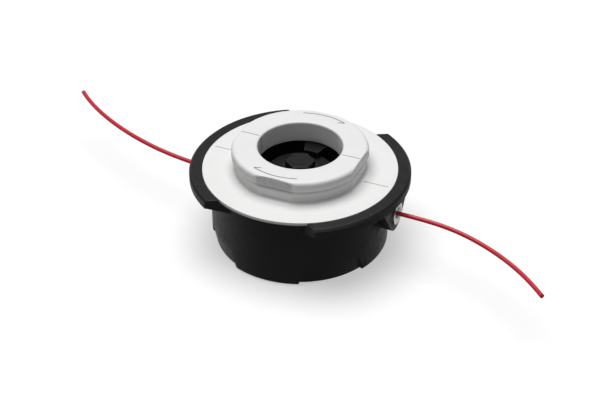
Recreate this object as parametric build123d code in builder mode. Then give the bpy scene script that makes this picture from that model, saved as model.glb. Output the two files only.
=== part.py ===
from build123d import *
import os
from math import acos, cos, pi, radians, sin, sqrt, tan

# Fixed line trimmer head, in millimetres.
# The origin is the centre of the bottom face, +Z runs up the drive axis and
# +X runs out through the right line eyelet. Seen from above, turning the white
# wheel clockwise winds the line in.

# Clearances
fit_gap = 0.05
running_gap = 0.3
screw_gap = 0.05

# Housing: a moulded bowl with a stepped floor
wall_radius_top = 54.8
wall_draft = 0.5
wall_thickness = 3.0
floor_thickness = 5.0
recess_depth = 5.0
recess_wall = 4.5
bottom_edge_radius = 3.0
relief_count = 4
relief_depth = 2.6
relief_height = 14.5
relief_half_angle_bottom = 23.5
relief_half_angle_top = 17.5

# Housing: the two guard rim arcs and the gaps between them
rim_gap_to_wheel = 0.6
rim_width = 7.4
rim_height = 5.6
rim_bevel = 1.4
gap_half_width = 22.6
gap_slant = 36.7

# Housing: hub tower, spool seat and ratchet crown
tower_radius = 15.0
seat_width = 6.0
tooth_count = 12
tooth_height = 3.0
tooth_clearance = 0.3
tooth_backlash = 1.0
crown_margin = 1.0

# Line eyelets and the bosses that carry them
eyelet_above_chamber_floor = 15.2
eyelet_bore_radius = 2.7
eyelet_wall = 1.5
eyelet_flange_radius = 7.0
eyelet_flange_thickness = 1.8
eyelet_seat_depth = 0.8
eyelet_bell_radius = 2.6
eyelet_inner_bell_radius = 1.0
boss_setback = 4.5
boss_radius = 11.0
boss_top_half_width = 22.0

# Winding wheel
wheel_flange_radius = 59.5
wheel_flange_thickness = 2.5
ring_height = 15.5
plate_radius = 41.6
plate_thickness = 6.4
plate_skin = 3.2
plate_edge_radius = 2.6
lip_overhang = 1.6
neck_thickness = 3.0
neck_root_radius = 1.2
grip_flat_count = 4
grip_flat_depth = 1.5
grip_lip_overhang = 0.6
bore_radius = 25.75
bore_wall = 2.3
bore_edge_radius = 1.2

# Line spool
web_thickness = 4.2
chamber_height = 27.0
upper_flange_thickness = 3.0
lower_flange_thickness = 2.5
spool_side_gap = 2.3
drum_wall = 4.8
sleeve_setback = 0.45
sleeve_lip = 0.35
sleeve_rise = 4.5
lug_angles = (90.0, 270.0)
lug_length = 9.2
lug_half_angle = 15.0
lug_thickness = 3.0
lug_drop = 1.0
anchor_hole_radius = 1.7

# Screws that join the wheel to the spool
screw_count = 4
screw_offset = 3.0
screw_radius = 1.5
screw_head_radius = 2.8
screw_head_height = 1.6
screw_length = 12.0
screw_boss_radius = 3.4

# Hub nut, retainer, washer and spring
hub_key_flats = 14.0
hub_key_depth = 12.0
hub_shank_step = 0.3
hub_thread_radius = 4.459
hub_thread_depth = 24.0
hub_collar_radius = 11.5
hub_collar_thickness = 2.0
hub_head_flats = 16.0
hub_head_height = 6.0
hub_head_chamfer = 0.5
hub_clocking = 24.0
lug_gap = 1.5
retainer_thickness = 3.5
retainer_skirt_height = 2.0
retainer_skirt_wall = 1.5
washer_thickness = 1.2
washer_margin = 1.8
spring_wire = 2.0
spring_inner_gap = 1.2
spring_outer_gap = 0.8
spring_turns = 5

# Nylon line
line_diameter = 2.7
winding_fill = 0.47
winding_gap = 0.3
lead_bend_setback = 3.1
lead_bend_radius = 5 * line_diameter
line_joint_gap = 0.2

# Heights, from the bottom face up
crown_floor_z = recess_depth + floor_thickness
seat_z = crown_floor_z + tooth_height + tooth_clearance
chamber_floor_z = seat_z + web_thickness
chamber_top_z = chamber_floor_z + chamber_height
wheel_bottom_z = chamber_top_z + upper_flange_thickness
wall_top_z = wheel_bottom_z - running_gap
wheel_flange_top_z = wheel_bottom_z + wheel_flange_thickness
ring_top_z = wheel_flange_top_z + ring_height
plate_bottom_z = ring_top_z - plate_thickness
sleeve_top_z = wheel_bottom_z + sleeve_rise
lug_bottom_z = sleeve_top_z - lug_drop - lug_thickness
retainer_top_z = lug_bottom_z - lug_gap
tower_top_z = retainer_top_z - retainer_thickness
hub_key_z = tower_top_z - hub_key_depth
rim_bottom_z = wheel_flange_top_z - rim_height
eyelet_z = chamber_floor_z + eyelet_above_chamber_floor
washer_top_z = chamber_floor_z + washer_thickness

# Radii, from the drive axis out
wall_radius_bottom = wall_radius_top - wall_draft
sleeve_inner_radius = bore_radius + sleeve_setback
sleeve_outer_radius = bore_radius + bore_wall + sleeve_lip
drum_radius = sleeve_inner_radius + drum_wall
spool_flange_radius = wall_radius_bottom - wall_thickness - spool_side_gap
winding_radius = drum_radius + winding_fill * (spool_flange_radius - drum_radius)
neck_radius = plate_radius - lip_overhang
grip_flat_distance = plate_radius - grip_flat_depth
seat_radius = tower_radius + seat_width
half_pitch = 180 / tooth_count
crown_inner_radius = seat_radius + crown_margin
crown_outer_radius = (drum_radius - crown_margin) * cos(radians(half_pitch))
step_radius = drum_radius - crown_margin / 2
screw_circle_radius = drum_radius + screw_offset
rim_inner_radius = wheel_flange_radius + rim_gap_to_wheel
rim_radius = rim_inner_radius + rim_width
boss_face_x = rim_radius - boss_setback
spring_radius = tower_radius + spring_inner_gap + spring_wire / 2
skirt_inner_radius = spring_radius + spring_wire / 2 + spring_outer_gap
retainer_radius = skirt_inner_radius + retainer_skirt_wall
hub_shank_radius = hub_key_flats / 2 - hub_shank_step
retainer_bore_radius = hub_key_flats / sqrt(3) + running_gap


def wall_radius(z):
    """Outer radius of the drafted housing wall at a height."""
    return wall_radius_bottom + (wall_radius_top - wall_radius_bottom) * z / wall_top_z


def relief_radius(z):
    """Radius of the slanted relief face at a height."""
    return wall_radius(z) - relief_depth * (1 - z / relief_height)


def hexagon(across_flats):
    """A hexagon with the clocking of the hub nut."""
    return RegularPolygon(across_flats / 2, 6, major_radius=False, rotation=hub_clocking)


# Eyelet sleeve faces along X, shared by the housing, the eyelets and the line
eyelet_inner_x = wall_radius(eyelet_z) - wall_thickness
eyelet_seat_x = boss_face_x - eyelet_seat_depth
eyelet_face_x = eyelet_seat_x + eyelet_flange_thickness
eyelet_outer_radius = eyelet_bore_radius + eyelet_wall

# One saw tooth of the housing crown: it falls the way the wheel unwinds
with BuildPart() as housing_tooth:
    for radius in (crown_inner_radius, crown_outer_radius):
        half_width = radius * tan(radians(half_pitch))
        with BuildSketch(Plane(origin=(radius, 0, crown_floor_z), x_dir=(0, 1, 0), z_dir=(1, 0, 0))):
            with BuildLine():
                Polyline(
                    (-half_width, -tooth_clearance),
                    (half_width, -tooth_clearance),
                    (half_width, 0),
                    (-half_width, tooth_height),
                    close=True,
                )
            make_face()
    loft(ruled=True)

# One saw tooth of the spool crown, the housing tooth's opposite
with BuildPart() as spool_tooth:
    for radius in (crown_inner_radius, crown_outer_radius):
        half_width = radius * tan(radians(half_pitch))
        with BuildSketch(Plane(origin=(radius, 0, seat_z), x_dir=(0, 1, 0), z_dir=(1, 0, 0))):
            with BuildLine():
                Polyline(
                    (-half_width, tooth_clearance),
                    (half_width, tooth_clearance),
                    (half_width, -tooth_height),
                    (-half_width, 0),
                    close=True,
                )
            make_face()
    loft(ruled=True)

# Cutter for one slanted relief at the lower edge of the housing wall: a wedge between
# the relief's two ends, kept only outside the slanted face and its rounded lower edge
relief_edge_start = relief_radius(0) - 2 * bottom_edge_radius
with BuildPart() as relief_cutter:
    for z, half_angle in ((0, relief_half_angle_bottom), (relief_height, relief_half_angle_top)):
        with BuildSketch(Plane.XY.offset(z)):
            with BuildLine():
                inner_arc = CenterArc((0, 0), relief_edge_start, -half_angle, 2 * half_angle)
                outer_arc = CenterArc((0, 0), rim_radius, -half_angle, 2 * half_angle)
                Line(inner_arc @ 0, outer_arc @ 0)
                Line(inner_arc @ 1, outer_arc @ 1)
            make_face()
    loft(ruled=True)
    with BuildSketch(Plane.XZ):
        with BuildLine():
            FilletPolyline(
                (relief_edge_start, 0),
                (relief_radius(0), 0),
                (wall_radius(relief_height), relief_height),
                radius=bottom_edge_radius,
            )
            Polyline(
                (wall_radius(relief_height), relief_height),
                (rim_radius, relief_height),
                (rim_radius, -bottom_edge_radius),
                (relief_edge_start, -bottom_edge_radius),
                (relief_edge_start, 0),
            )
        make_face()
    revolve(axis=Axis.Z, mode=Mode.INTERSECT)

# Housing: rim arcs first, then the bowl, the eyelet bosses and all the cuts
with BuildPart() as housing:
    with BuildSketch(Plane.XZ):
        with BuildLine():
            Polyline(
                (wall_radius_bottom, rim_bottom_z),
                (rim_radius, rim_bottom_z),
                (rim_radius, wheel_flange_top_z - rim_bevel),
                (rim_radius - rim_bevel, wheel_flange_top_z),
                (rim_inner_radius, wheel_flange_top_z),
                (rim_inner_radius, wall_top_z),
                (wall_radius_bottom, wall_top_z),
                close=True,
            )
        make_face()
    revolve(axis=Axis.Z)

    # Two gaps with slanted ends, through which fingers reach under the wheel
    gap_root_y = sqrt(wall_radius_top**2 - gap_half_width**2)
    gap_mouth_half_width = gap_half_width + (rim_radius - gap_root_y) / tan(radians(gap_slant))
    with BuildSketch(Plane.XY.offset(rim_bottom_z)):
        for side in (1, -1):
            with BuildLine():
                Polyline(
                    (-gap_half_width, side * gap_root_y),
                    (gap_half_width, side * gap_root_y),
                    (gap_mouth_half_width, side * rim_radius),
                    (-gap_mouth_half_width, side * rim_radius),
                    close=True,
                )
            make_face()
    extrude(amount=rim_height, mode=Mode.SUBTRACT)

    # Drafted bowl with a rounded lower edge, still solid
    with BuildSketch(Plane.XZ):
        with BuildLine():
            FilletPolyline(
                (0, 0),
                (wall_radius_bottom, 0),
                (wall_radius_top, wall_top_z),
                radius=bottom_edge_radius,
            )
            Polyline((wall_radius_top, wall_top_z), (0, wall_top_z), (0, 0))
        make_face()
    revolve(axis=Axis.Z)

    # Eyelet bosses that widen upwards into the rim
    for side in (1, -1):
        with BuildSketch(Plane.YZ):
            with Locations((0, eyelet_z)):
                Circle(boss_radius)
            with Locations((0, (rim_bottom_z + wall_top_z) / 2)):
                Rectangle(2 * boss_top_half_width, wall_top_z - rim_bottom_z)
            make_hull()
        extrude(amount=side * boss_face_x)

    # Bowl inside, with the tower, the spool seat and the stepped floor left standing
    with BuildSketch(Plane.XZ):
        with BuildLine():
            Polyline(
                (0, tower_top_z),
                (tower_radius, tower_top_z),
                (tower_radius, seat_z),
                (seat_radius, seat_z),
                (seat_radius, crown_floor_z),
                (step_radius, crown_floor_z),
                (step_radius, floor_thickness),
                (relief_radius(floor_thickness) - wall_thickness, floor_thickness),
                (wall_radius(relief_height) - wall_thickness, relief_height),
                (wall_radius_top - wall_thickness, wall_top_z),
                (0, wall_top_z),
                close=True,
            )
        make_face()
    revolve(axis=Axis.Z, mode=Mode.SUBTRACT)

    # Drive recess in the underside, the round hub bore and the hexagonal key above it
    with BuildSketch(Plane.XY):
        Circle(step_radius - recess_wall)
    extrude(amount=recess_depth, mode=Mode.SUBTRACT)
    with BuildSketch(Plane.XY.offset(recess_depth)):
        Circle(hub_shank_radius + fit_gap)
    extrude(amount=hub_key_z - recess_depth, mode=Mode.SUBTRACT)
    with BuildSketch(Plane.XY.offset(hub_key_z)):
        hexagon(hub_key_flats + 2 * fit_gap)
    extrude(amount=hub_key_depth, mode=Mode.SUBTRACT)

    # Stepped eyelet bores
    for side in (1, -1):
        with BuildSketch(Plane.YZ.offset(side * boss_face_x)):
            with Locations((0, eyelet_z)):
                Circle(eyelet_flange_radius + fit_gap)
        extrude(amount=-side * eyelet_seat_depth, mode=Mode.SUBTRACT)
        with BuildSketch(Plane.YZ.offset(side * boss_face_x)):
            with Locations((0, eyelet_z)):
                Circle(eyelet_outer_radius + fit_gap)
        extrude(amount=-side * (boss_face_x - spool_flange_radius), mode=Mode.SUBTRACT)

    with PolarLocations(0, relief_count, start_angle=180 / relief_count):
        add(relief_cutter.part, mode=Mode.SUBTRACT)
    with PolarLocations(0, tooth_count):
        add(housing_tooth.part)

# Hub nut: a closed hexagon head, a key that stops it turning and a shank with the drive thread's bore
with BuildPart() as hub_nut:
    with BuildSketch(Plane.XY.offset(recess_depth)):
        Circle(hub_shank_radius)
    extrude(amount=hub_key_z - recess_depth)
    with BuildSketch(Plane.XY.offset(hub_key_z)):
        hexagon(hub_key_flats)
    extrude(amount=retainer_top_z - hub_key_z)
    with BuildSketch(Plane.XY.offset(retainer_top_z)):
        Circle(hub_collar_radius)
    extrude(amount=hub_collar_thickness)
    with BuildSketch(Plane.XY.offset(retainer_top_z + hub_collar_thickness)):
        hexagon(hub_head_flats)
    extrude(amount=hub_head_height)
    chamfer(hub_nut.edges().group_by(Axis.Z)[-1], hub_head_chamfer)
    with BuildSketch(Plane.XY.offset(recess_depth)):
        Circle(hub_thread_radius)
    extrude(amount=hub_thread_depth, mode=Mode.SUBTRACT)

# Retainer: the cap under the hub nut that holds the spring's upper end
with BuildPart() as spool_retainer:
    with BuildSketch(Plane.XZ):
        with BuildLine():
            Polyline(
                (retainer_bore_radius, tower_top_z),
                (skirt_inner_radius, tower_top_z),
                (skirt_inner_radius, tower_top_z - retainer_skirt_height),
                (retainer_radius, tower_top_z - retainer_skirt_height),
                (retainer_radius, retainer_top_z),
                (retainer_bore_radius, retainer_top_z),
                close=True,
            )
        make_face()
    revolve(axis=Axis.Z)

# Slip washer under the spring: it rises with the spool but doesn't turn
with BuildPart() as slip_washer:
    with BuildSketch(Plane.XY.offset(chamber_floor_z)):
        Circle(spring_radius + spring_wire / 2 + washer_margin)
        Circle(tower_radius + running_gap, mode=Mode.SUBTRACT)
    extrude(amount=washer_thickness)

# Return spring of square wire, between the slip washer and the retainer
spring_length = tower_top_z - washer_top_z
with BuildPart() as return_spring:
    with BuildLine() as coil:
        Helix(
            pitch=(spring_length - spring_wire) / spring_turns,
            height=spring_length - spring_wire,
            radius=spring_radius,
            center=(0, 0, washer_top_z + spring_wire / 2),
        )
    with BuildSketch(Plane(origin=coil.line @ 0, x_dir=(1, 0, 0), z_dir=coil.line % 0)):
        Rectangle(spring_wire, spring_wire)
    sweep(is_frenet=True)

# Line spool: web, drum, two flanges, centring sleeve, two lugs and the upper crown
with BuildPart() as line_spool:
    with BuildSketch(Plane.XZ):
        with BuildLine():
            Polyline(
                (tower_radius + fit_gap, seat_z),
                (drum_radius, seat_z),
                (drum_radius, chamber_floor_z - lower_flange_thickness),
                (spool_flange_radius, chamber_floor_z - lower_flange_thickness),
                (spool_flange_radius, chamber_floor_z),
                (drum_radius, chamber_floor_z),
                (drum_radius, chamber_top_z),
                (spool_flange_radius, chamber_top_z),
                (spool_flange_radius, wheel_bottom_z),
                (sleeve_outer_radius, wheel_bottom_z),
                (sleeve_outer_radius, sleeve_top_z),
                (sleeve_inner_radius, sleeve_top_z),
                (sleeve_inner_radius, chamber_floor_z),
                (tower_radius + fit_gap, chamber_floor_z),
                close=True,
            )
        make_face()
    revolve(axis=Axis.Z)

    # Two inward lugs at the top of the sleeve
    with BuildSketch(Plane.XY.offset(lug_bottom_z)):
        for middle in lug_angles:
            with BuildLine():
                start = middle - lug_half_angle
                lug_tip = CenterArc((0, 0), sleeve_inner_radius - lug_length, start, 2 * lug_half_angle)
                lug_root = CenterArc((0, 0), sleeve_outer_radius, start, 2 * lug_half_angle)
                Line(lug_tip @ 0, lug_root @ 0)
                Line(lug_tip @ 1, lug_root @ 1)
            make_face()
    extrude(amount=lug_thickness)

    with PolarLocations(0, tooth_count, start_angle=-tooth_backlash):
        add(spool_tooth.part)

    # Countersunk screw holes in the upper flange
    with BuildSketch(Plane.XY.offset(chamber_top_z)):
        with PolarLocations(screw_circle_radius, screw_count, start_angle=180 / screw_count):
            Circle(screw_radius + screw_gap)
    extrude(amount=upper_flange_thickness, mode=Mode.SUBTRACT)
    with PolarLocations(screw_circle_radius, screw_count, start_angle=180 / screw_count):
        with Locations((0, 0, chamber_top_z)):
            Cone(
                screw_head_radius,
                screw_radius,
                screw_head_height,
                align=(Align.CENTER, Align.CENTER, Align.MIN),
                mode=Mode.SUBTRACT,
            )

    # Anchor holes that take the line's inner end, in line with the eyelets
    with BuildSketch(Plane.YZ.offset(-drum_radius)):
        with Locations((0, eyelet_z)):
            Circle(anchor_hole_radius)
    extrude(amount=2 * drum_radius, mode=Mode.SUBTRACT)

# Winding wheel: flange, neck, gripping plate and bore wall, hollow from below
with BuildPart() as winding_wheel:
    with BuildSketch(Plane.XZ):
        with BuildLine():
            Polyline(
                (neck_radius - neck_thickness, wheel_bottom_z),
                (wheel_flange_radius, wheel_bottom_z),
                (wheel_flange_radius, wheel_flange_top_z),
                (neck_radius, wheel_flange_top_z),
                (neck_radius, plate_bottom_z),
                (plate_radius, plate_bottom_z),
                (plate_radius, ring_top_z),
                (bore_radius, ring_top_z),
                (bore_radius, sleeve_top_z),
                (bore_radius + bore_wall, sleeve_top_z),
                (bore_radius + bore_wall, ring_top_z - plate_skin),
                (neck_radius - neck_thickness, ring_top_z - plate_skin),
                close=True,
            )
        make_face()
    revolve(axis=Axis.Z)

    # Rounded edges of the plate's outside and of the bore
    fillet(winding_wheel.edges().group_by(Axis.Z)[-1].sort_by(SortBy.LENGTH)[-1], plate_edge_radius)
    fillet(winding_wheel.edges().group_by(Axis.Z)[-1].sort_by(SortBy.LENGTH)[0], bore_edge_radius)

    # Four flats to grip, right down to the flange
    with BuildSketch(Plane.XY.offset(wheel_flange_top_z)):
        with PolarLocations(grip_flat_distance, grip_flat_count):
            Rectangle(plate_radius, 2 * plate_radius, align=(Align.MIN, Align.CENTER))
    extrude(amount=ring_height, mode=Mode.SUBTRACT)

    # Below the front and back flats the neck stands further in, to leave a lip
    with BuildSketch(Plane.XY.offset(wheel_flange_top_z)):
        for side in (1, -1):
            with Locations((0, side * (grip_flat_distance - grip_lip_overhang + plate_radius / 2))):
                Rectangle(2 * plate_radius, plate_radius)
    extrude(amount=ring_height - plate_thickness, mode=Mode.SUBTRACT)

    # Rounded root where the neck meets the flange
    flange_top_edges = winding_wheel.edges().filter_by_position(
        Axis.Z, wheel_flange_top_z - fit_gap, wheel_flange_top_z + fit_gap
    )
    fillet(flange_top_edges.sort_by(SortBy.LENGTH)[:-1], neck_root_radius)

    # Screw bosses under the plate
    with BuildSketch(Plane.XY.offset(wheel_bottom_z)):
        with PolarLocations(screw_circle_radius, screw_count, start_angle=180 / screw_count):
            Circle(screw_boss_radius)
    extrude(amount=ring_top_z - plate_skin - wheel_bottom_z)
    with BuildSketch(Plane.XY.offset(wheel_bottom_z)):
        with PolarLocations(screw_circle_radius, screw_count, start_angle=180 / screw_count):
            Circle(screw_radius + screw_gap)
    extrude(amount=screw_length - upper_flange_thickness + running_gap, mode=Mode.SUBTRACT)

# Countersunk screws, heads flush in the underside of the upper spool flange
with BuildPart() as wheel_screws:
    with PolarLocations(screw_circle_radius, screw_count, start_angle=180 / screw_count):
        with Locations((0, 0, chamber_top_z)):
            Cone(
                screw_head_radius,
                screw_radius,
                screw_head_height,
                align=(Align.CENTER, Align.CENTER, Align.MIN),
            )
            Cylinder(screw_radius, screw_length, align=(Align.CENTER, Align.CENTER, Align.MIN))

# Wound line: one solid of the outer shape of its turns
with BuildPart() as line_winding:
    with BuildSketch(Plane.XY.offset(chamber_floor_z)):
        Circle(winding_radius)
        Circle(drum_radius + fit_gap, mode=Mode.SUBTRACT)
    extrude(amount=chamber_height)

# Metal eyelets: a flanged sleeve with a bell mouth at each end
eyelets = {}
for side, name in ((1, "line_eyelet_right"), (-1, "line_eyelet_left")):
    with BuildPart() as eyelet:
        with BuildSketch(Plane.XZ.shift_origin((0, 0, eyelet_z))):
            with BuildLine():
                bell_x = eyelet_face_x - eyelet_bell_radius
                bell_rho = eyelet_bore_radius + eyelet_bell_radius
                inner_bell_x = eyelet_inner_x + eyelet_inner_bell_radius
                inner_bell_rho = eyelet_bore_radius + eyelet_inner_bell_radius
                mouth = RadiusArc(
                    (side * eyelet_face_x, bell_rho),
                    (side * bell_x, eyelet_bore_radius),
                    side * eyelet_bell_radius,
                )
                inner_mouth = RadiusArc(
                    (side * inner_bell_x, eyelet_bore_radius),
                    (side * eyelet_inner_x, inner_bell_rho),
                    side * eyelet_inner_bell_radius,
                )
                Line(mouth @ 1, inner_mouth @ 0)
                Polyline(
                    inner_mouth @ 1,
                    (side * eyelet_inner_x, eyelet_outer_radius),
                    (side * eyelet_seat_x, eyelet_outer_radius),
                    (side * eyelet_seat_x, eyelet_flange_radius),
                    (side * eyelet_face_x, eyelet_flange_radius),
                    mouth @ 0,
                )
            make_face()
        revolve(axis=Axis((0, 0, eyelet_z), (1, 0, 0)))
    eyelet.part.label = name
    eyelets[name] = eyelet.part

# Line leads: from the winding's tangent point, round a bend and through the eyelet
lead_radius = winding_radius + winding_gap + line_diameter / 2
lead_corner_x = eyelet_inner_x - lead_bend_setback
lead_angle = acos(lead_radius / lead_corner_x)
leads = {}
for side, name in ((1, "line_lead_right"), (-1, "line_lead_left")):
    with BuildPart() as lead:
        with BuildLine() as lead_path:
            FilletPolyline(
                (side * lead_radius * cos(lead_angle), -side * lead_radius * sin(lead_angle), eyelet_z),
                (side * lead_corner_x, 0, eyelet_z),
                (side * (eyelet_face_x - line_joint_gap), 0, eyelet_z),
                radius=lead_bend_radius,
            )
        with BuildSketch(Plane(origin=lead_path.line @ 0, z_dir=lead_path.line % 0)):
            Circle(line_diameter / 2)
        sweep()
    lead.part.label = name
    leads[name] = lead.part

# Free line tails: they curve the way that the line was wound. Each point is how far
# it lies out from the eyelet's face and across from the eyelet's axis.
tail_routes = {
    "line_tail_right": [
        (0.0, 0.0),
        (18.5, -0.2),
        (38.0, -3.3),
        (57.3, -10.5),
        (75.7, -20.8),
        (91.8, -33.2),
        (102.2, -43.8),
    ],
    "line_tail_left": [
        (0.0, 0.0),
        (18.0, 2.4),
        (37.5, 6.7),
        (57.0, 13.3),
        (76.0, 21.9),
        (93.0, 31.7),
        (108.0, 42.6),
        (115.4, 49.6),
    ],
}
tails = {}
for side, (name, route) in zip((1, -1), tail_routes.items()):
    points = [Vector(side * (eyelet_face_x + out), across, eyelet_z) for out, across in route]
    runs = [after - before for before, after in zip(points, points[1:])]
    bend_radii = []
    for before, after in zip(runs, runs[1:]):
        turn = radians(before.get_angle(after))
        bend_radii.append(0.45 * min(before.length, after.length) / tan(turn / 2))
    with BuildPart() as tail:
        with BuildLine() as tail_path:
            FilletPolyline(*points, radius=bend_radii)
        with BuildSketch(Plane(origin=tail_path.line @ 0, z_dir=tail_path.line % 0)):
            Circle(line_diameter / 2)
        sweep()
    tail.part.label = name
    tails[name] = tail.part
    tail_length = tail_path.wire().length
    swept = pi * (line_diameter / 2) ** 2 * tail_length
    print(name, "length", round(tail_length, 1), "radii", [round(r) for r in bend_radii])
    print(name, "volume", round(tail.part.volume, 1), "section times length", round(swept, 1))

housing.part.label = "housing"
hub_nut.part.label = "hub_nut"
spool_retainer.part.label = "spool_retainer"
slip_washer.part.label = "slip_washer"
return_spring.part.label = "return_spring"
line_spool.part.label = "line_spool"
winding_wheel.part.label = "winding_wheel"
wheel_screws.part.label = "wheel_screws"
line_winding.part.label = "line_winding"

os.makedirs("parts", exist_ok=True)
export_step(housing.part, "parts/housing.step")
export_step(hub_nut.part, "parts/hub_nut.step")
export_step(spool_retainer.part, "parts/spool_retainer.step")
export_step(slip_washer.part, "parts/slip_washer.step")
export_step(return_spring.part, "parts/return_spring.step")
export_step(line_spool.part, "parts/line_spool.step")
export_step(winding_wheel.part, "parts/winding_wheel.step")
export_step(wheel_screws.part, "parts/wheel_screws.step")
export_step(line_winding.part, "parts/line_winding.step")
for name, piece in {**eyelets, **leads, **tails}.items():
    export_step(piece, f"parts/{name}.step")
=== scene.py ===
from math import atan2, cos, pi, radians, sin, sqrt

import bmesh
import bpy
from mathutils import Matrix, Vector


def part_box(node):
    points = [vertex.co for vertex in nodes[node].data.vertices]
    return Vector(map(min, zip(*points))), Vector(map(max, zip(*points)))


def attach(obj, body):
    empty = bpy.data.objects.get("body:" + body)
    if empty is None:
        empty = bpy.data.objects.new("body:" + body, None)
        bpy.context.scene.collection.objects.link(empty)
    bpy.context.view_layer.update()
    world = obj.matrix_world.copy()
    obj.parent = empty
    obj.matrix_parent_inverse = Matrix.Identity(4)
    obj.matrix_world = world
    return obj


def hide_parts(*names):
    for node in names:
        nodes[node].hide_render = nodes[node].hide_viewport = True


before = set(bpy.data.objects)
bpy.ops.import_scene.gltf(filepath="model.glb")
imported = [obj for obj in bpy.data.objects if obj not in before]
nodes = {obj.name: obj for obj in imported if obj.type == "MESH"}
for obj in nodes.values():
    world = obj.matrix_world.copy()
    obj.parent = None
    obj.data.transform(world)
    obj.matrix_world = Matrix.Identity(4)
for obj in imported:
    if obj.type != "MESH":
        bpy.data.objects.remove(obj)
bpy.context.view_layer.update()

# Housing: the bowl, the two arcs of the guard rim and the eyelet bosses are one
# injection moulding in black glass-filled nylon, with a fine grain and a low sheen.
# Its edges are paler, as rubbing wear and as painted highlight, and one end of each rim arc is the
# shorter one.
nylon_dark = (0.0075, 0.0075, 0.0082, 1.0)
nylon_pale = (0.0125, 0.0125, 0.0132, 1.0)
nylon_rubbed_and_lit = (0.06, 0.06, 0.061, 1.0)
nylon_edge = 0.0005
nylon_grain = 0.0005
nylon_grain_depth = 0.00004
nylon_patch = 0.009
nylon_gloss = 0.35
nylon_gloss_patch = 0.004
nylon_roughness = (0.40, 0.52)
cloud_range = (0.3, 0.7)
edge_meeting = (0.995, 0.86)
weld_reach = 0.000001
bowl_smooth_below = radians(16)
short_end_corner = Vector((0.0295, 0.0521))
short_end_slant = radians(27.6)
short_end_reach = (-0.006, 0.016)
short_end_depth = 0.009
short_end_heights = (0.0443, 0.0506)


def start_finish(name):
    """A new finish with its node tree and its surface shader."""
    finish = bpy.data.materials.new(name)
    finish.use_nodes = True
    return finish, finish.node_tree, finish.node_tree.nodes["Principled BSDF"]


def add_node(tree, kind, values=()):
    """A node of the finish, with its fixed values set on its own sockets."""
    node = tree.nodes.new(kind)
    for socket, value in dict(values).items():
        node.inputs[socket].default_value = value
    return node


def add_cloud(tree, size, detail, stretch=(1.0, 1.0, 1.0)):
    """A soft random pattern with patches of about that size, in metres."""
    place = add_node(tree, "ShaderNodeTexCoord")
    turn = add_node(tree, "ShaderNodeMapping", {"Scale": stretch})
    cloud = add_node(tree, "ShaderNodeTexNoise", {"Scale": 1 / size, "Detail": detail, "Roughness": 0.6})
    tree.links.new(place.outputs["Object"], turn.inputs["Vector"])
    tree.links.new(turn.outputs["Vector"], cloud.inputs["Vector"])
    return cloud.outputs["Fac"]


def blend_colours(tree, share, low, high):
    """A colour that goes from low to high with a share from 0 to 1."""
    mix = tree.nodes.new("ShaderNodeMix")
    mix.data_type = "RGBA"
    for socket, value in ((6, low), (7, high)):
        if isinstance(value, tuple):
            mix.inputs[socket].default_value = value
        else:
            tree.links.new(value, mix.inputs[socket])
    tree.links.new(share, mix.inputs[0])
    return mix.outputs[2]


def spread(tree, share, low, high, start=0.0, end=1.0):
    """A number that runs from start to end while the share runs from low to high."""
    ramp = add_node(
        tree,
        "ShaderNodeMapRange",
        {"From Min": low, "From Max": high, "To Min": start, "To Max": end},
    )
    tree.links.new(share, ramp.inputs["Value"])
    return ramp.outputs["Result"]


def mould_surface(tree, shader, edge, grain, depth):
    """Rounded mould edges under a fine mould grain."""
    corner = add_node(tree, "ShaderNodeBevel", {"Radius": edge})
    corner.samples = 8
    bump = add_node(tree, "ShaderNodeBump", {"Strength": 1.0, "Distance": depth})
    tree.links.new(add_cloud(tree, grain, 3.0), bump.inputs["Height"])
    tree.links.new(corner.outputs["Normal"], bump.inputs["Normal"])
    tree.links.new(bump.outputs["Normal"], shader.inputs["Normal"])
    return corner.outputs["Normal"]


def edge_share(tree, rounded_normal):
    """Where the rounded edges are, from 0 on flat ground to 1 on a corner."""
    ground = tree.nodes.new("ShaderNodeNewGeometry")
    meet = tree.nodes.new("ShaderNodeVectorMath")
    meet.operation = "DOT_PRODUCT"
    tree.links.new(rounded_normal, meet.inputs[0])
    tree.links.new(ground.outputs["Normal"], meet.inputs[1])
    return spread(tree, meet.outputs["Value"], *edge_meeting)


def vary_roughness(tree, shader, cloud, roughness):
    """A roughness that wanders between two values with a cloud."""
    tree.links.new(spread(tree, cloud, *cloud_range, *roughness), shader.inputs["Roughness"])


black_nylon, tree, shader = start_finish("black_nylon")
shader.inputs["Specular IOR Level"].default_value = nylon_gloss
rounded = mould_surface(tree, shader, nylon_edge, nylon_grain, nylon_grain_depth)
body_colour = blend_colours(tree, add_cloud(tree, nylon_patch, 4.0), nylon_dark, nylon_pale)
# Paler edges: part rubbing wear, part painted highlight.
rubbed_and_lit = edge_share(tree, rounded)
tree.links.new(blend_colours(tree, rubbed_and_lit, body_colour, nylon_rubbed_and_lit), shader.inputs["Base Color"])
vary_roughness(tree, shader, add_cloud(tree, nylon_gloss_patch, 3.0), nylon_roughness)


def add_piece(name, mesh_maker, finish, body):
    """A new piece from a filled bmesh, with its finish and body."""
    mesh_maker.normal_update()
    mesh = bpy.data.meshes.new(name)
    mesh_maker.to_mesh(mesh)
    mesh_maker.free()
    mesh.materials.append(finish)
    piece = bpy.data.objects.new(name, mesh)
    bpy.context.scene.collection.objects.link(piece)
    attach(piece, body)
    return piece


def add_block(mesh_maker, corner, slant, reach, depth, heights):
    """A block that stands on a slanted line in plan, to one side of it."""
    along = Vector((cos(slant), sin(slant)))
    aside = Vector((-along.y, along.x))
    plan = [
        corner + along * out + aside * side
        for out, side in ((reach[0], 0.0), (reach[1], 0.0), (reach[1], depth), (reach[0], depth))
    ]
    low, high = ([mesh_maker.verts.new((*point, height)) for point in plan] for height in heights)
    faces = [mesh_maker.faces.new(low), mesh_maker.faces.new(high)]
    for i in range(4):
        faces.append(mesh_maker.faces.new((low[i], low[i - 1], high[i - 1], high[i])))
    bmesh.ops.recalc_face_normals(mesh_maker, faces=faces)


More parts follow.
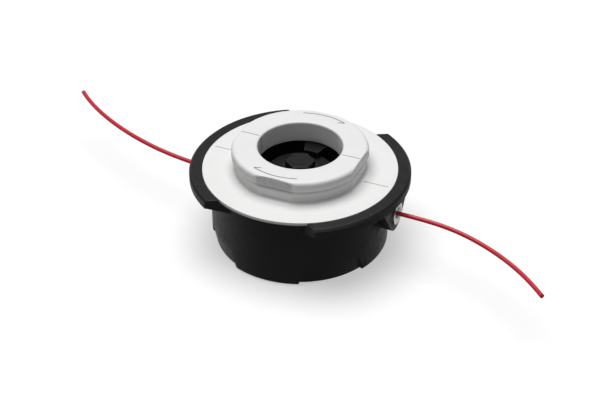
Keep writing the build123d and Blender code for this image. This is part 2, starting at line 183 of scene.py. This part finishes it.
def trimmed_copy(node, name, blocks, smooth_below, finish, body):
    """A copy of a piece of the frame with blocks cut off it, in that piece's place."""
    shape = bmesh.new()
    shape.from_mesh(nodes[node].data)
    bmesh.ops.remove_doubles(shape, verts=shape.verts, dist=weld_reach)
    piece = add_piece(name, shape, finish, body)
    cutter_mesh = bpy.data.meshes.new("cutter")
    blocks.to_mesh(cutter_mesh)
    blocks.free()
    cutter = bpy.data.objects.new("cutter", cutter_mesh)
    bpy.context.scene.collection.objects.link(cutter)
    cut = piece.modifiers.new("trim", "BOOLEAN")
    cut.operation = "DIFFERENCE"
    cut.solver = "EXACT"
    cut.use_self = True
    cut.object = cutter
    worked_out = piece.evaluated_get(bpy.context.evaluated_depsgraph_get())
    trimmed = bpy.data.meshes.new_from_object(worked_out)
    piece.modifiers.clear()
    piece.data = trimmed
    bpy.data.objects.remove(cutter)
    trimmed.polygons.foreach_set("use_smooth", [True] * len(trimmed.polygons))
    trimmed.set_sharp_from_angle(angle=smooth_below)
    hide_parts(node)


short_ends = bmesh.new()
for corner, slant in (
    (short_end_corner, short_end_slant),
    (-short_end_corner, short_end_slant + pi),
):
    add_block(short_ends, corner, slant, short_end_reach, short_end_depth, short_end_heights)
trimmed_copy(
    "housing", "bowl_and_rim", short_ends, bowl_smooth_below, black_nylon, "housing"
)

# Rim flare: the underside of each guard rim arc slopes down to the bowl's wall, which
# stiffens the rim. It is part of the housing's moulding and ends at the finger gaps.
flare_inner = 0.0542
flare_outer = 0.0666
flare_sunk_top = 0.0448
flare_outer_low = 0.04435
flare_wall_low = 0.0398
flare_steps = 96
long_end_corner = Vector((0.0226, 0.04992))
long_end_slant = radians(36.7)


def end_angle(corner, slant, radius):
    """The angle from +X at which the slanted end of a rim arc cuts a circle."""
    along = Vector((cos(slant), sin(slant)))
    middle = corner.dot(along)
    end = corner + along * (sqrt(middle**2 - corner.length_squared + radius**2) - middle)
    return atan2(end.y, end.x)


flare_section = (
    (flare_inner, flare_sunk_top),
    (flare_outer, flare_sunk_top),
    (flare_outer, flare_outer_low),
    (flare_inner, flare_wall_low),
)
for half_turn, hand in ((0.0, "right"), (pi, "left")):
    flare = bmesh.new()
    rows = []
    for step in range(flare_steps + 1):
        share = step / flare_steps
        row = []
        for radius, height in flare_section:
            start = -end_angle(long_end_corner, long_end_slant, radius)
            end = end_angle(short_end_corner, short_end_slant, radius)
            angle = half_turn + start + share * (end - start)
            row.append(flare.verts.new((radius * cos(angle), radius * sin(angle), height)))
        rows.append(row)
    faces = [flare.faces.new(rows[0]), flare.faces.new(rows[-1])]
    for before, after in zip(rows, rows[1:]):
        for i in range(4):
            faces.append(flare.faces.new((before[i], before[i - 1], after[i - 1], after[i])))
    bmesh.ops.recalc_face_normals(flare, faces=faces)
    add_piece(f"rim_flare_{hand}", flare, black_nylon, "housing")

# Hub nut: turned from steel bar and blacked. It drops through the tower from above
# and its key stops it turning, so that the shaft's thread can pull it down.
steel_black = (0.013, 0.013, 0.014, 1.0)
steel_rubbed = (0.075, 0.074, 0.072, 1.0)
steel_edge = 0.0004
steel_grain = 0.0011
steel_grain_depth = 0.00003
steel_metallic = 0.55
steel_gloss_patch = 0.003
steel_roughness = (0.42, 0.58)

black_steel, tree, shader = start_finish("black_steel")
shader.inputs["Metallic"].default_value = steel_metallic
rounded = mould_surface(tree, shader, steel_edge, steel_grain, steel_grain_depth)
tree.links.new(
    blend_colours(tree, edge_share(tree, rounded), steel_black, steel_rubbed), shader.inputs["Base Color"]
)
vary_roughness(tree, shader, add_cloud(tree, steel_gloss_patch, 4.0), steel_roughness)


def put_finish(name, finish):
    """A piece of the frame takes a finish in place of its plain one."""
    mesh = nodes[name].data
    mesh.materials.clear()
    mesh.materials.append(finish)


put_finish("hub_nut", black_steel)

# Retainer and line spool: moulded in black nylon with a duller surface than the bowl.
# The retainer caps the spring, and the spool's two lugs show at the bottom of the bore.
inner_dark = (0.0035, 0.0035, 0.0038, 1.0)
inner_pale = (0.0065, 0.0065, 0.0068, 1.0)
inner_rubbed_and_lit = (0.07, 0.07, 0.07, 1.0)
inner_patch = 0.007
inner_gloss = 0.18
inner_gloss_patch = 0.004
inner_roughness = (0.50, 0.62)

dull_nylon, tree, shader = start_finish("dull_nylon")
shader.inputs["Specular IOR Level"].default_value = inner_gloss
rounded = mould_surface(tree, shader, nylon_edge, nylon_grain, nylon_grain_depth)
body_colour = blend_colours(tree, add_cloud(tree, inner_patch, 4.0), inner_dark, inner_pale)
# Paler edges: part rubbing wear, part painted highlight.
rubbed_and_lit = edge_share(tree, rounded)
tree.links.new(blend_colours(tree, rubbed_and_lit, body_colour, inner_rubbed_and_lit), shader.inputs["Base Color"])
vary_roughness(tree, shader, add_cloud(tree, inner_gloss_patch, 3.0), inner_roughness)
put_finish("spool_retainer", dull_nylon)
put_finish("line_spool", dull_nylon)

# Slip washer, return spring and the four wheel screws: bright steel, drawn or
# stamped, with fine lines along the drawing direction. All are hidden inside.
bright_steel_dark = (0.40, 0.40, 0.41, 1.0)
bright_steel_pale = (0.62, 0.62, 0.61, 1.0)
drawn_line = 0.0007
drawn_line_depth = 0.00002
drawn_edge = 0.0002
drawn_streak = 0.002
drawing_stretch = (1.0, 1.0, 6.0)
bright_steel_roughness = (0.22, 0.40)

spring_steel, tree, shader = start_finish("spring_steel")
shader.inputs["Metallic"].default_value = 1.0
mould_surface(tree, shader, drawn_edge, drawn_line, drawn_line_depth)
drawn = add_cloud(tree, drawn_streak, 4.0, drawing_stretch)
tree.links.new(
    blend_colours(tree, drawn, bright_steel_dark, bright_steel_pale), shader.inputs["Base Color"]
)
vary_roughness(tree, shader, drawn, bright_steel_roughness)
for name in ("slip_washer", "return_spring", "wheel_screws"):
    put_finish(name, spring_steel)

# Winding wheel: moulded in satin white plastic, with a flange that covers the bowl and
# a raised hand ring with four flats. It is slightly cloudy. Its corners and the neck under
# the lip are darkened as painted shade, and the flange's lowest edge is painted black as shadow.
white_plain = (0.77, 0.77, 0.765, 1.0)
white_cloudy = (0.72, 0.72, 0.717, 1.0)
white_corner_shade = (0.36, 0.36, 0.355, 1.0)
white_shaded = (0.40, 0.40, 0.395, 1.0)
white_painted_shadow = (0.03, 0.03, 0.03, 1.0)
corner_shade_reach = 0.0065
wheel_low, wheel_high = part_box("winding_wheel")
ring_top = wheel_high.z
ring_height = 0.0155
flange_top = ring_top - ring_height
plate_radius = 0.0416
plate_thickness = 0.0064
plate_rounding = 0.0026
plate_low = ring_top - plate_thickness
neck_inner = 0.036
lip_shade_height = 0.0030
underside_shadow_height = 0.0010
underside_shadow_blur = 0.0004
wheel_smooth_below = radians(28)
flat_distance = 0.0394
neck_flat_distance = 0.0389
flat_reach = (-0.016, 0.016)
flat_depth = 0.006
white_edge = 0.0008
white_grain = 0.0006
white_grain_depth = 0.00003
white_patch = 0.014
white_gloss_patch = 0.005
white_roughness = (0.38, 0.50)
corner_shade_meeting = (0.92, 0.30)
corner_shade_foot = (0.0001, 0.0010)
neck_edge_blur = 0.001
lip_edge_blur = 0.0001
plate_cut_drop = 0.0003
plate_cut_rise = 0.001
neck_cut_foot = 0.0013
neck_cut_drop = 0.0001

white_plastic, tree, shader = start_finish("white_plastic")
mould_surface(tree, shader, white_edge, white_grain, white_grain_depth)
clean_colour = blend_colours(tree, add_cloud(tree, white_patch, 4.0), white_cloudy, white_plain)
# Painted shade: the white turns grey where the surface is hemmed in by nearby surfaces; the flange's top
# is left clean.
corners = add_node(tree, "ShaderNodeAmbientOcclusion", {"Distance": corner_shade_reach})
corners.samples = 16
place = add_node(tree, "ShaderNodeTexCoord")
sides = add_node(tree, "ShaderNodeSeparateXYZ")
tree.links.new(place.outputs["Object"], sides.inputs["Vector"])
height = sides.outputs["Z"]
from_axis = add_node(tree, "ShaderNodeVectorMath")
from_axis.operation = "LENGTH"
level = add_node(tree, "ShaderNodeMapping", {"Scale": (1.0, 1.0, 0.0)})
tree.links.new(place.outputs["Object"], level.inputs["Vector"])
tree.links.new(level.outputs["Vector"], from_axis.inputs[0])


def both(first, second):
    """The share where two shares hold at once."""
    product = add_node(tree, "ShaderNodeMath")
    product.operation = "MULTIPLY"
    tree.links.new(first, product.inputs[0])
    tree.links.new(second, product.inputs[1])
    return product.outputs["Value"]


corner_shaded = both(
    spread(tree, corners.outputs["AO"], *corner_shade_meeting),
    spread(tree, height, *(flange_top + rise for rise in corner_shade_foot)),
)
top_colour = blend_colours(tree, corner_shaded, clean_colour, white_corner_shade)
# Painted shade: a grey band round the outside of the neck, just under the plate's lip.
under_lip = both(
    spread(tree, height, plate_low - lip_shade_height, plate_low - lip_shade_height / 3),
    spread(tree, height, plate_low + lip_edge_blur, plate_low),
)
outside = spread(tree, from_axis.outputs["Value"], neck_inner, neck_inner + neck_edge_blur)
lip_colour = blend_colours(tree, both(under_lip, outside), top_colour, white_shaded)
# Painted shadow: the lowest millimetre of the flange's edge is black, as the shadow under the flange.
underside_shadow_top = wheel_low.z + underside_shadow_height
above_underside_shadow = spread(tree, height, underside_shadow_top - underside_shadow_blur, underside_shadow_top)
tree.links.new(blend_colours(tree, above_underside_shadow, white_painted_shadow, lip_colour), shader.inputs["Base Color"])
vary_roughness(tree, shader, add_cloud(tree, white_gloss_patch, 3.0), white_roughness)

flats = bmesh.new()
for quarter in range(4):
    turn = quarter * pi / 2
    for distance, heights in (
        (flat_distance, (plate_low - plate_cut_drop, ring_top + plate_cut_rise)),
        (neck_flat_distance, (flange_top + neck_cut_foot, plate_low - neck_cut_drop)),
    ):
        corner = Vector((sin(turn), -cos(turn))) * (distance + flat_depth)
        add_block(flats, corner, turn, flat_reach, flat_depth, heights)
trimmed_copy(
    "winding_wheel", "hand_wheel", flats, wheel_smooth_below, white_plastic, "spool"
)

# Grip ribs: the front and back flats of the hand ring are moulded with fine upright
# ribs, so that wet fingers can turn the wheel. They stand on the plate's edge only.
rib_pitch = 0.0010
rib_height = 0.0003
rib_half_width = 0.0005
rib_sink = 0.0001
rib_margin = 0.0004
ribbed_half_width = 0.0118


def add_rib(mesh_maker, across, side):
    """One upright rib with sloped ends, its foot sunk into the flat."""
    from_rounding = sqrt(across**2 + flat_distance**2) - (plate_radius - plate_rounding)
    top = ring_top - plate_rounding + sqrt(plate_rounding**2 - from_rounding**2) - rib_margin
    bottom = plate_low + rib_margin
    foot = flat_distance - rib_sink
    crest = flat_distance + rib_height
    corners = [
        mesh_maker.verts.new((across + shift, side * out, height))
        for height, slope in ((bottom, rib_height), (top, -rib_height))
        for shift, out, height in (
            (-rib_half_width, foot, height),
            (rib_half_width, foot, height),
            (0.0, crest, height + slope),
        )
    ]
    faces = [
        mesh_maker.faces.new([corners[i] for i in ring])
        for ring in ((0, 1, 2), (3, 5, 4), (0, 3, 4, 1), (1, 4, 5, 2), (2, 5, 3, 0))
    ]
    bmesh.ops.recalc_face_normals(mesh_maker, faces=faces)


for side, where in ((-1, "front"), (1, "back")):
    ribs = bmesh.new()
    count = int(ribbed_half_width / rib_pitch)
    for step in range(-count, count + 1):
        add_rib(ribs, step * rib_pitch, side)
    add_piece(f"grip_ribs_{where}", ribs, white_plastic, "spool")

# Turning marks: two thin arrows and the fine joint lines of the mould, standing just
# proud of the white plastic. The arrows show which way the wheel winds the line in.
# Their grey is painted shade: the raised lines are the same white plastic as the ring.
mark_shade_dark = (0.16, 0.16, 0.16, 1.0)
mark_shade_pale = (0.24, 0.24, 0.24, 1.0)
mark_rise = 0.00010
mark_sink = 0.00020
mark_patch = 0.002
mark_gloss_patch = 0.001
mark_roughness = (0.45, 0.60)
arrow_width = 0.00055
arrow_radius = 0.0366
arrow_sweep = (-70.0, -115.0)
arrow_steps = 28
barb_length = 0.0043
barb_angle = 42.0
joint_width = 0.00036
bore_radius = 0.02575
bore_rounding = 0.0012
bore_depth = 0.0135
neck_root = 0.0412
joint_end = 0.0572

painted_shade_marks, tree, shader = start_finish("painted_shade_marks")
mark_shade_colour = blend_colours(tree, add_cloud(tree, mark_patch, 3.0), mark_shade_dark, mark_shade_pale)
tree.links.new(mark_shade_colour, shader.inputs["Base Color"])
vary_roughness(tree, shader, add_cloud(tree, mark_gloss_patch, 3.0), mark_roughness)


def add_strip(mesh_maker, points, width, floor_height):
    """A thin raised strip along points on level ground."""
    points = [Vector(point) for point in points]
    rows = []
    for i, point in enumerate(points):
        along = (points[min(i + 1, len(points) - 1)] - points[max(i - 1, 0)]).normalized()
        aside = Vector((-along.y, along.x)) * width / 2
        rows.append(
            [
                mesh_maker.verts.new((*(point + aside * hand), floor_height + rise))
                for hand, rise in ((1, -mark_sink), (-1, -mark_sink), (-1, mark_rise), (1, mark_rise))
            ]
        )
    faces = [mesh_maker.faces.new(rows[0]), mesh_maker.faces.new(rows[-1])]
    for before, after in zip(rows, rows[1:]):
        for i in range(4):
            faces.append(mesh_maker.faces.new((before[i], before[i - 1], after[i - 1], after[i])))
    bmesh.ops.recalc_face_normals(mesh_maker, faces=faces)


for half_turn, where in ((0.0, "front"), (180.0, "back")):
    arrow = bmesh.new()
    start, end = (radians(angle + half_turn) for angle in arrow_sweep)
    angles = [start + (end - start) * step / arrow_steps for step in range(arrow_steps + 1)]
    shaft = [(arrow_radius * cos(angle), arrow_radius * sin(angle)) for angle in angles]
    add_strip(arrow, shaft, arrow_width, ring_top)
    back_along = end + radians(90 + barb_angle)
    barb_end = Vector(shaft[-1]) + Vector((cos(back_along), sin(back_along))) * barb_length
    add_strip(arrow, [shaft[-1], barb_end], arrow_width, ring_top)
    add_piece(f"turning_arrow_{where}", arrow, painted_shade_marks, "spool")


def add_upright(mesh_maker, side, radius, low, high, width):
    """A thin raised strip up the wall of the bore."""
    rows = [
        [
            mesh_maker.verts.new((side * (radius + out), across, height))
            for out, across in (
                (mark_sink, -width / 2),
                (mark_sink, width / 2),
                (-mark_rise, width / 2),
                (-mark_rise, -width / 2),
            )
        ]
        for height in (low, high)
    ]
    faces = [mesh_maker.faces.new(rows[0]), mesh_maker.faces.new(rows[1])]
    for i in range(4):
        faces.append(mesh_maker.faces.new((rows[0][i], rows[0][i - 1], rows[1][i - 1], rows[1][i])))
    bmesh.ops.recalc_face_normals(mesh_maker, faces=faces)


for side, hand in ((1, "right"), (-1, "left")):
    joint = bmesh.new()
    ring_start = side * (bore_radius + bore_rounding)
    ring_end = side * (plate_radius - plate_rounding)
    add_strip(joint, [(ring_start, 0.0), (ring_end, 0.0)], joint_width, ring_top)
    add_strip(joint, [(side * neck_root, 0.0), (side * joint_end, 0.0)], joint_width, flange_top)
    add_upright(joint, side, bore_radius, ring_top - bore_depth, ring_top - bore_rounding, joint_width)
    add_piece(f"mould_joint_{hand}", joint, painted_shade_marks, "spool")

# Line eyelets: turned from bar, with a bell mouth polished by the lathe so that the
# line doesn't chafe. Fine rings run round each eyelet's axis.
eyelet_dark = (0.84, 0.84, 0.84, 1.0)
eyelet_pale = (0.95, 0.95, 0.94, 1.0)
turned_ring = 0.0004
turned_ring_depth = 0.00001
eyelet_edge = 0.0003
eyelet_patch = 0.002
eyelet_gloss_patch = 0.001
eyelet_roughness = (0.24, 0.36)

eyelet_metal, tree, shader = start_finish("eyelet_metal")
shader.inputs["Metallic"].default_value = 1.0
mould_surface(tree, shader, eyelet_edge, turned_ring, turned_ring_depth)
eyelet_colour = blend_colours(tree, add_cloud(tree, eyelet_patch, 3.0), eyelet_dark, eyelet_pale)
tree.links.new(eyelet_colour, shader.inputs["Base Color"])
vary_roughness(tree, shader, add_cloud(tree, eyelet_gloss_patch, 3.0), eyelet_roughness)
for name in ("line_eyelet_right", "line_eyelet_left"):
    put_finish(name, eyelet_metal)

# Line: extruded red nylon, round and stiff. The wound part and the two leads lie in
# the bowl, and the leads run out through the eyelets.
line_deep = (0.50, 0.016, 0.034, 1.0)
line_bright = (0.68, 0.028, 0.055, 1.0)
line_depth_share = 0.15
line_depth_reach = (0.0012, 0.0003, 0.0003)
line_streak = 0.003
line_roughness = (0.28, 0.42)

red_line, tree, shader = start_finish("red_line")
shader.inputs["Subsurface Weight"].default_value = line_depth_share
shader.inputs["Subsurface Radius"].default_value = line_depth_reach
streak = add_cloud(tree, line_streak, 3.0)
tree.links.new(blend_colours(tree, streak, line_deep, line_bright), shader.inputs["Base Color"])
vary_roughness(tree, shader, streak, line_roughness)
for name in ("line_winding", "line_lead_right", "line_lead_left"):
    put_finish(name, red_line)

# Free line tails: the two cut ends that do the mowing. They stand out stiffly from
# the eyelets and keep some of the curl that the spool gave them.
line_diameter = 0.0027
tail_routes = {
    "right": [
        (0.0, 0.0),
        (0.0185, -0.0002),
        (0.0380, -0.0033),
        (0.0573, -0.0105),
        (0.0757, -0.0208),
        (0.0918, -0.0332),
        (0.1022, -0.0438),
    ],
    "left": [
        (0.0, 0.0),
        (0.0180, 0.0024),
        (0.0375, 0.0067),
        (0.0570, 0.0133),
        (0.0760, 0.0219),
        (0.0930, 0.0317),
        (0.1080, 0.0426),
        (0.1154, 0.0496),
    ],
}
for side, hand in ((1, "right"), (-1, "left")):
    low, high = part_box(f"line_eyelet_{hand}")
    eyelet_face = high.x if side > 0 else low.x
    eyelet_height = (low.z + high.z) / 2
    curve = bpy.data.curves.new(f"free_tail_{hand}", "CURVE")
    curve.dimensions = "3D"
    spline = curve.splines.new("NURBS")
    spline.points.add(len(tail_routes[hand]) - 1)
    for point, (out, across) in zip(spline.points, tail_routes[hand]):
        point.co = (eyelet_face + side * out, across, eyelet_height, 1.0)
    spline.order_u = 3
    spline.use_endpoint_u = True
    spline.resolution_u = 24
    curve.bevel_depth = line_diameter / 2
    curve.bevel_resolution = 6
    curve.use_fill_caps = True
    curve.materials.append(red_line)
    tail = bpy.data.objects.new(f"free_tail_{hand}", curve)
    bpy.context.scene.collection.objects.link(tail)
    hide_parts(f"line_tail_{hand}")
    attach(tail, "housing")

# Floor: a plain white sheet under the head. It glows a little, so that it is as pale
# as paper away from the shadow, and it isn't mirrored in the black nylon.
floor_half = 3.0
paper_grey = (0.45, 0.45, 0.45, 1.0)
paper_glow = 0.50
white_light = (1.0, 1.0, 1.0, 1.0)
floor_mesh = bpy.data.meshes.new("floor")
floor_corners = [
    (-floor_half, -floor_half, 0.0),
    (floor_half, -floor_half, 0.0),
    (floor_half, floor_half, 0.0),
    (-floor_half, floor_half, 0.0),
]
floor_mesh.from_pydata(floor_corners, [], [(0, 1, 2, 3)])
paper, tree, shader = start_finish("paper")
shader.inputs["Base Color"].default_value = paper_grey
shader.inputs["Roughness"].default_value = 1.0
shader.inputs["Specular IOR Level"].default_value = 0.0
shader.inputs["Emission Color"].default_value = white_light
shader.inputs["Emission Strength"].default_value = paper_glow
floor_mesh.materials.append(paper)
floor = bpy.data.objects.new("floor", floor_mesh)
bpy.context.scene.collection.objects.link(floor)
floor.visible_glossy = False
floor.visible_diffuse = False

# Light: one large soft light overhead, a little behind and to the left, in a dim room
# that is brighter on the right. The ground is brighter at the back left and dark
# right under the head.
lamp_strength = 3.35
lamp_width = radians(50)
lamp_tilt = (radians(-3), radians(-7), 0.0)
room_side = (0.92, 0.39, 0.0)
room_turn = (-0.7, 0.8)
room_levels = (0.10, 0.13)
ground_side = (-0.6, 0.8, 0.0)
ground_turn = (-0.1, 0.75)
ground_levels = (0.25, 0.66)
under_head_level = 0.08
straight_up = (0.0, 0.0, 1.0)
under_head_turn = (-0.95, -0.70)
horizon_turn = (-0.08, 0.08)

lamp = bpy.data.lights.new("overhead", "SUN")
lamp.energy = lamp_strength
lamp.angle = lamp_width
overhead = bpy.data.objects.new("overhead", lamp)
overhead.rotation_euler = lamp_tilt
bpy.context.scene.collection.objects.link(overhead)

room = bpy.data.worlds.new("room")
room.use_nodes = True
tree = room.node_tree
backdrop = tree.nodes["Background"]
backdrop.inputs["Color"].default_value = white_light
look = add_node(tree, "ShaderNodeTexCoord")


def towards(direction, low, high, start, end):
    """Light that changes from start to end as one looks towards a direction."""
    meet = tree.nodes.new("ShaderNodeVectorMath")
    meet.operation = "DOT_PRODUCT"
    meet.inputs[1].default_value = direction
    tree.links.new(look.outputs["Generated"], meet.inputs[0])
    return spread(tree, meet.outputs["Value"], low, high, start, end)


def between(share, first, second):
    """An amount of light that goes from the first to the second with a share."""
    mix = tree.nodes.new("ShaderNodeMix")
    for socket, value in ((0, share), (2, first), (3, second)):
        if isinstance(value, float):
            mix.inputs[socket].default_value = value
        else:
            tree.links.new(value, mix.inputs[socket])
    return mix.outputs[0]


room_light = towards(room_side, *room_turn, *room_levels)
open_ground = towards(ground_side, *ground_turn, *ground_levels)
away_from_head = towards(straight_up, *under_head_turn, 0.0, 1.0)
ground_light = between(away_from_head, under_head_level, open_ground)
above_ground = towards(straight_up, *horizon_turn, 0.0, 1.0)
tree.links.new(between(above_ground, ground_light, room_light), backdrop.inputs["Strength"])
bpy.context.scene.world = room

# Camera: where the photograph was taken from, worked out from the round outlines of
# the rim and the wheel. It looks down on the head through a long lens.
camera_lens = 98.46
camera_film = 36.0
camera_place = Vector((0.32626, -0.76358, 0.60188))
camera_target = Vector((0.01411, -0.03331, 0.0502))
view = bpy.data.cameras.new("camera")
view.lens = camera_lens
view.sensor_width = camera_film
camera = bpy.data.objects.new("camera", view)
camera.location = camera_place
camera.rotation_euler = (camera_target - camera_place).to_track_quat("-Z", "Y").to_euler()
bpy.context.scene.collection.objects.link(camera)
bpy.context.scene.camera = camera
bpy.context.scene.view_settings.view_transform = "Standard"
